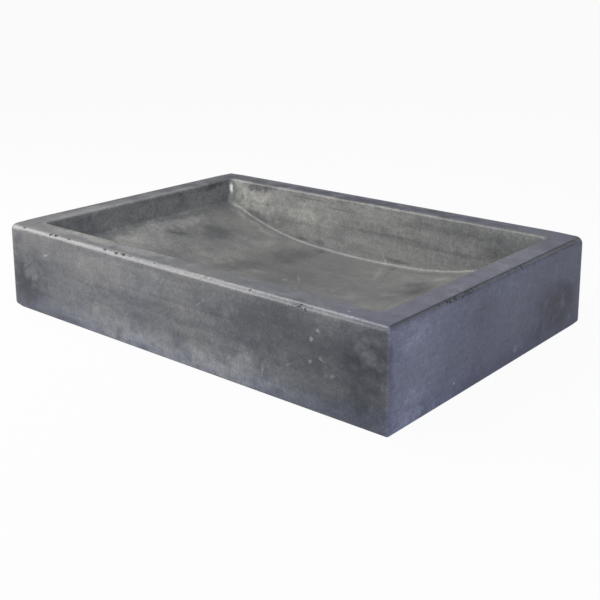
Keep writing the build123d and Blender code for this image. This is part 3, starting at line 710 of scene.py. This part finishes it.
def threadedTail():
    # Turned profile whose outer radius dips by a rounded V that climbs one pitch for each turn, fading out at both ends
    w = waste
    outer = dense([(w["tail"], w["tailEnd"] + w["chamfer"]), (w["tail"], w["reliefUnder"])], w["pitch"] / 10)
    groove = softCorners([(w["tail"], w["reliefUnder"]), (w["tail"] - w["relief"], w["reliefUnder"] + 0.1),
                          (w["tail"] - w["relief"], w["reliefTop"] - 0.1), (w["tail"], w["reliefTop"])], 0.3)[5:15]
    upper = dense([(w["tail"], w["reliefTop"]), (w["tail"], w["threadTop"])], w["pitch"] / 10)
    neck = dense([(w["tail"], w["threadTop"]), (w["tail"], w["flangeUnder"] - 0.1)], 2.0)[1:]
    rim = softCorners([(w["flange"], w["flangeUnder"]), (w["flange"], w["flangeTop"]), (w["mouth"], w["flangeTop"]),
                       (w["bore"], w["throat"]), (w["bore"], 0.0), (w["tail"], 0.0)], 0.8, 6)
    flange = np.vstack([[(w["tail"], w["flangeUnder"])], dense([(w["tail"] + 0.3, w["flangeUnder"]),
                        (w["flange"] - 0.3, w["flangeUnder"])], 2.0), rim[:28]])
    inside = dense([(w["bore"], w["throat"] - 1.0), (w["bore"], w["tailEnd"] + 0.1)], 3.0)
    foot = np.array([(w["bore"] + 0.15, w["tailEnd"]), (w["tail"] - w["chamfer"] - 0.1, w["tailEnd"]),
                     (w["tail"] - w["chamfer"], w["tailEnd"] + 0.05), (w["tail"] - 0.1, w["tailEnd"] + w["chamfer"] - 0.1)])
    profile = np.vstack([outer, groove, upper, neck, flange, inside, foot])
    axis = basin["waste"]
    points = turn(profile, 128, axis)
    z = points[..., 2]
    angle = np.arctan2(points[..., 1] - axis[1], points[..., 0] - axis[0])
    radius = np.hypot(points[..., 0] - axis[0], points[..., 1] - axis[1])
    phase = z / w["pitch"] - angle / (2 * math.pi)
    dip = (0.5 - 0.5 * np.cos(2 * math.pi * phase)) ** 0.8 * w["threadDepth"]
    onTail = np.abs(radius - w["tail"]) < 0.02
    fade = ease(z, w["tailEnd"] + 1.0, w["tailEnd"] + 2.6) * ease(-z, -w["threadTop"], -w["threadTop"] + 2.0)
    fade = fade * np.maximum(ease(-z, -w["reliefUnder"], -w["reliefUnder"] + 0.9), ease(z, w["reliefTop"], w["reliefTop"] + 0.9))
    new = radius - np.where(onTail, dip * fade, 0)
    points[..., 0] = axis[0] + (points[..., 0] - axis[0]) * new / radius
    points[..., 1] = axis[1] + (points[..., 1] - axis[1]) * new / radius
    return points


def spider():
    # Hub: closed ring outline turned about the axis. Arms: rounded bars that widen to a root at both ends
    w = waste
    hub = softCorners([(w["hubBore"], w["hubUnder"]), (w["hub"], w["hubUnder"]), (w["hub"], w["hubTop"]),
                       (w["hubBore"], w["hubTop"])], 0.5)
    grids = [(turn(hub, 64, basin["waste"]), True, True)]
    share = np.linspace(0, 1, 25)[:, None]
    around = np.linspace(0, 2 * math.pi, 28, endpoint=False)[None, :]
    root = 1 + 0.55 * (np.exp(-share * 12) + np.exp((share - 1) * 12))
    closing = np.sqrt(np.clip(np.minimum(share, 1 - share) / 0.02, 0, 1))
    half = w["armWidth"] / 2
    high = (w["hubTop"] - w["hubUnder"]) / 2
    squareCos = np.sign(np.cos(around)) * np.abs(np.cos(around)) ** 0.45
    squareSin = np.sign(np.sin(around)) * np.abs(np.sin(around)) ** 0.45
    out = w["hub"] - 0.8 + share * (w["bore"] + 0.9 - w["hub"] + 0.8) + 0 * around
    side = half * root * closing * squareCos
    lift = (w["hubUnder"] + high) + (high - 0.15) * closing * squareSin
    for k in range(w["arms"]):
        a = 2 * math.pi * k / w["arms"]
        grids.append((np.stack([basin["waste"][0] + out * math.cos(a) - side * math.sin(a),
                                basin["waste"][1] + out * math.sin(a) + side * math.cos(a), lift], -1), True, False))
    return grids


makePiece("wasteTurned", [(threadedTail(), True, True)], "basin", finishes["chromed_brass"],
          ("waste_body",))
makePiece("wasteSpider", spider(), "basin", finishes["chromed_brass"], ("waste_body",))
print("waste: tail with thread, spider")


# The plug's cap: thin dome with a rolled lip and a boss for the stem

capShape = {  # millimetres
    "radius": 31.0, "under": 28.3, "edge": 1.6, "crown": 1.7, "skin": 1.5, "lip": 1.6, "inside": 0.3,
    "boss": 6.0, "bossFoot": 23.2, "hole": 3.03, "holeTop": 29.1, "edgeRound": 0.7,
}


def plugCap():
    # Dome: height falls with the square of the radius, as a very shallow arc does. Under it the same dome, one skin lower
    c = capShape
    top = c["under"] + c["edge"] + c["crown"]
    shoulder = c["under"] + c["edge"]
    inner = c["radius"] - c["lip"]
    r = np.linspace(0, c["radius"] - c["edgeRound"], 40)
    dome = np.column_stack([r, top - c["crown"] * (r / c["radius"]) ** 2])
    t = np.linspace(0, math.pi / 2, 7)[1:]
    rolled = np.column_stack([c["radius"] - c["edgeRound"] * (1 - np.sin(t)),
                              shoulder + 0.08 - c["edgeRound"] * (1 - np.cos(t))])
    lip = np.array([(c["radius"], c["under"] + 0.2), (c["radius"] - 0.2, c["under"]), (inner + 0.2, c["under"]),
                    (inner, c["under"] + 0.1), (inner, c["under"] + c["inside"])])
    r = np.linspace(inner, c["boss"] + 0.6, 24)[1:]
    underTop = top - c["skin"]
    drop = underTop - c["under"] - c["inside"]
    below = np.column_stack([r, underTop - drop * (r / inner) ** 2])
    last = below[-1][1]
    boss = np.array([(c["boss"] + 0.15, last - 0.2), (c["boss"], last - 0.7), (c["boss"], c["bossFoot"] + 0.4),
                     (c["boss"] - 0.3, c["bossFoot"]), (c["hole"] + 0.3, c["bossFoot"]), (c["hole"], c["bossFoot"] + 0.3),
                     (c["hole"], c["holeTop"] - 0.1), (c["hole"] - 0.1, c["holeTop"]), (0.0, c["holeTop"])])
    return turn(np.vstack([dome, rolled, lip, below, boss]), 160, basin["waste"])


makePiece("plugCapTurned", [(plugCap(), True, False)], "plug", finishes["chromed_brass"],
          ("plug_cap",))
print("plug: cap")


# Stage: a pale floor with the round hole that the worktop has, lamps and the camera

stage = {"hole": 0.035, "reach": 40.0, "colour": (0.45, 0.45, 0.45, 1.0), "seen": 0.95, "gloss": 0.4}


def stageFloor():
    # Flat rings from reach in to the edge of the hole, each narrower than the last, facing up
    s = stage
    r = s["hole"] * (s["reach"] / s["hole"]) ** np.linspace(1, 0, 24)
    points = turn(np.column_stack([r, 0 * r]) / mm, 96, basin["waste"])
    points[..., 2] = -0.02
    mesh = bpy.data.meshes.new("stageFloor")
    faces = gridFaces(points.shape[0], points.shape[1], 0, True, False)
    mesh.from_pydata((points.reshape(-1, 3) * mm).tolist(), [], faces.tolist())
    material = bpy.data.materials.new("paleFloor")
    material.use_nodes = True
    tree = material.node_tree
    shader = tree.nodes["Principled BSDF"]
    shader.inputs["Base Color"].default_value = s["colour"]
    shader.inputs["Roughness"].default_value = 0.9
    shader.inputs["Specular IOR Level"].default_value = 0.0
    start = Wire(tree)
    glow = start.node("ShaderNodeEmission", {}, {"Color": (1, 1, 1, 1), "Strength": 1.0})
    clear = start.node("ShaderNodeBsdfTransparent", {}, {})
    rays = tree.nodes.new("ShaderNodeLightPath")
    seen = Wire(tree, rays.outputs["Is Camera Ray"]).larger(Wire(tree, rays.outputs["Is Transmission Ray"]))
    seen = seen.larger(Wire(tree, rays.outputs["Is Glossy Ray"]) * s["gloss"])
    lit = Wire(tree, shader.outputs[0])
    front = start.node("ShaderNodeMixShader", {}, {0: seen * s["seen"], 1: lit, 2: glow})
    behind = start.node("ShaderNodeNewGeometry", {}, {}, "Backfacing")
    whole = start.node("ShaderNodeMixShader", {}, {0: behind, 1: front, 2: clear})
    tree.links.new(whole.socket, tree.nodes["Material Output"].inputs["Surface"])
    mesh.materials.append(material)
    floor = bpy.data.objects.new("stageFloor", mesh)
    bpy.context.scene.collection.objects.link(floor)


stageFloor()

lamps = {  # place in metres, side of the square soft box in metres, power in watts, colour
    "nearLeft": {"place": (-1.00, -0.62, 0.65), "size": 0.85, "power": 13.0, "colour": (1.0, 0.97, 0.95)},
    "nearFront": {"place": (-0.25, -1.00, 0.60), "size": 0.5, "power": 1.4, "colour": (1.0, 0.98, 0.96)},
    "lowLeft": {"place": (-0.85, -1.20, 0.46), "size": 0.4, "power": 5.0, "colour": (1.0, 0.98, 0.96)},
    "overLeft": {"place": (-0.58, -0.08, 1.08), "size": 0.6, "power": 6.6, "colour": (1.0, 0.98, 0.95)},
    "overRight": {"place": (0.50, 0.05, 1.20), "size": 0.6, "power": 1.9, "colour": (0.9, 0.9, 1.0)},
    "highFront": {"place": (0.0, -0.90, 1.56), "size": 0.9, "power": 7.0, "colour": (0.92, 1.0, 0.98)},
    "farRight": {"place": (1.10, -1.10, 0.62), "size": 0.5, "power": 9.0, "colour": (0.86, 0.92, 1.0)},
    "coolRight": {"place": (1.05, -0.30, 0.50), "size": 0.5, "power": 1.8, "colour": (0.45, 0.6, 1.0)},
    "backRight": {"place": (0.78, 1.35, 0.95), "size": 1.0, "power": 3.5, "colour": (0.9, 0.95, 1.0)},
}
lampAim = (0, 0, 0.05)
for name, lamp in lamps.items():
    data = bpy.data.lights.new(name, "AREA")
    data.shape = "SQUARE"
    data.size = lamp["size"]
    data.energy = lamp["power"]
    data.color = lamp["colour"]
    light = bpy.data.objects.new(name, data)
    light.location = lamp["place"]
    light.rotation_euler = (Vector(lampAim) - Vector(lamp["place"])).to_track_quat("-Z", "Y").to_euler()
    bpy.context.scene.collection.objects.link(light)

room = {"fill": 0.22, "mirror": 0.3}  # strength of the even light from all round, and of what polished faces see


def whiteRoom():
    world = bpy.data.worlds.new("whiteRoom")
    bpy.context.scene.world = world
    world.use_nodes = True
    tree = world.node_tree
    rays = tree.nodes.new("ShaderNodeLightPath")
    camera = Wire(tree, rays.outputs["Is Camera Ray"])
    through = Wire(tree, rays.outputs["Is Transmission Ray"])
    glossy = Wire(tree, rays.outputs["Is Glossy Ray"])
    seen = camera.larger(through)
    strength = seen + (1 - seen) * (glossy * room["mirror"] + (1 - glossy) * room["fill"])
    tree.nodes["Background"].inputs["Color"].default_value = (1, 1, 1, 1)
    tree.links.new(strength.socket, tree.nodes["Background"].inputs["Strength"])


whiteRoom()

camera = {  # fitted to the corners and edges in the photo; azimuth from -Y towards +X
    "place": (0.70714, -0.81758, 0.39081), "azimuth": 40.2072, "elevation": 19.1999, "roll": -0.1981, "lens": 58.738,
}


def addCamera():
    # Axes of the camera: back points from the object to the camera, right lies level, up completes them
    c = camera
    az, el, roll = (math.radians(c[k]) for k in ("azimuth", "elevation", "roll"))
    back = Vector((math.sin(az) * math.cos(el), -math.cos(az) * math.cos(el), math.sin(el)))
    right = Vector((math.cos(az), math.sin(az), 0.0))
    up = back.cross(right)
    right, up = right * math.cos(roll) + up * math.sin(roll), up * math.cos(roll) - right * math.sin(roll)
    data = bpy.data.cameras.new("photoCamera")
    data.sensor_width = 36.0
    data.lens = c["lens"]
    data.clip_start, data.clip_end = 0.01, 50.0
    view = bpy.data.objects.new("photoCamera", data)
    view.matrix_world = Matrix.Translation(c["place"]) @ Matrix((right, up, back)).transposed().to_4x4()
    bpy.context.scene.collection.objects.link(view)
    bpy.context.scene.camera = view


addCamera()
bpy.context.scene.view_settings.view_transform = "Standard"
print("stage: floor,", len(lamps), "lamps, camera")
